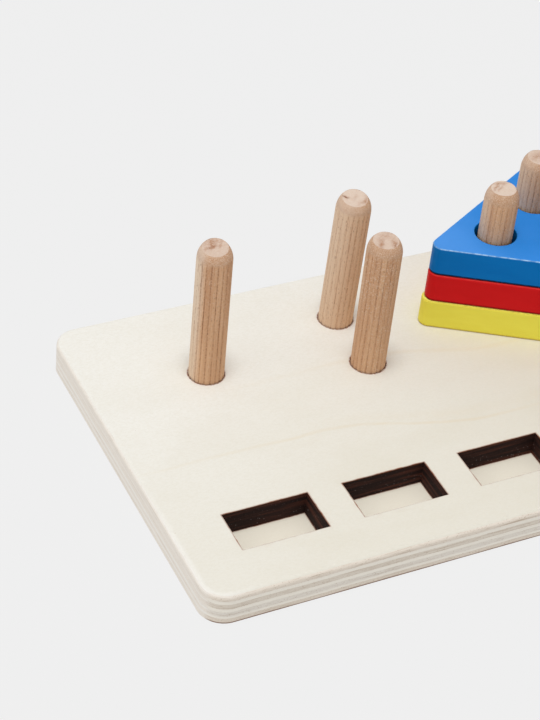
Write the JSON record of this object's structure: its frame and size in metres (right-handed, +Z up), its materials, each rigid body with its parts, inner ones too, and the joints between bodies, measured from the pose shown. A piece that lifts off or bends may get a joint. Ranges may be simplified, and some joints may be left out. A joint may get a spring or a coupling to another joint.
{
  "type": "peg stacking board",
  "caption": "Plywood board with fluted dowel pegs, painted triangle and square pieces that stack on them and lift off, and a row of rectangular tile sockets along the front edge.",
  "frame": {"origin": "middle of the board's underside", "axes": "+X along the row of pegs from the single peg to the square, +Y from the sockets to the pegs, +Z up"},
  "size_m": [0.229, 0.1116, 0.0526],
  "materials": {
    "ply_top": "bare sanded plywood",
    "ply_base": "bare plywood",
    "beech": "bare fluted dowel",
    "paint_yellow": "satin paint",
    "paint_red": "satin paint",
    "paint_blue": "satin paint"
  },
  "bodies": {
    "board": {"base_sheet": "ply_base", "top_plate": "ply_top", "peg_single": "beech", "peg_pair_back": "beech", "peg_pair_front": "beech", "peg_tri_left": "beech", "peg_tri_back": "beech", "peg_tri_front": "beech", "peg_square_back_left": "beech", "peg_square_back_right": "beech", "peg_square_front_left": "beech", "peg_square_front_right": "beech"},
    "triangle_yellow": {"triangle_yellow": "paint_yellow"},
    "triangle_red": {"triangle_red": "paint_red"},
    "triangle_blue": {"triangle_blue": "paint_blue"},
    "square_yellow": {"square_yellow": "paint_yellow"},
    "square_red": {"square_red": "paint_red"},
    "square_blue": {"square_blue": "paint_blue"}
  },
  "joints": [
    {"name": "triangle_yellow_lift", "type": "slide", "parent": "board", "child": "triangle_yellow", "axis": [0, 0, 1], "range_m": [0, 0.0466]},
    {"name": "triangle_red_lift", "type": "slide", "parent": "triangle_yellow", "child": "triangle_red", "axis": [0, 0, 1], "range_m": [0, 0.0375]},
    {"name": "triangle_blue_lift", "type": "slide", "parent": "triangle_red", "child": "triangle_blue", "axis": [0, 0, 1], "range_m": [0, 0.0284]},
    {"name": "square_yellow_lift", "type": "slide", "parent": "board", "child": "square_yellow", "axis": [0, 0, 1], "range_m": [0, 0.0466]},
    {"name": "square_red_lift", "type": "slide", "parent": "square_yellow", "child": "square_red", "axis": [0, 0, 1], "range_m": [0, 0.0375]},
    {"name": "square_blue_lift", "type": "slide", "parent": "square_red", "child": "square_blue", "axis": [0, 0, 1], "range_m": [0, 0.0284]}
  ]
}
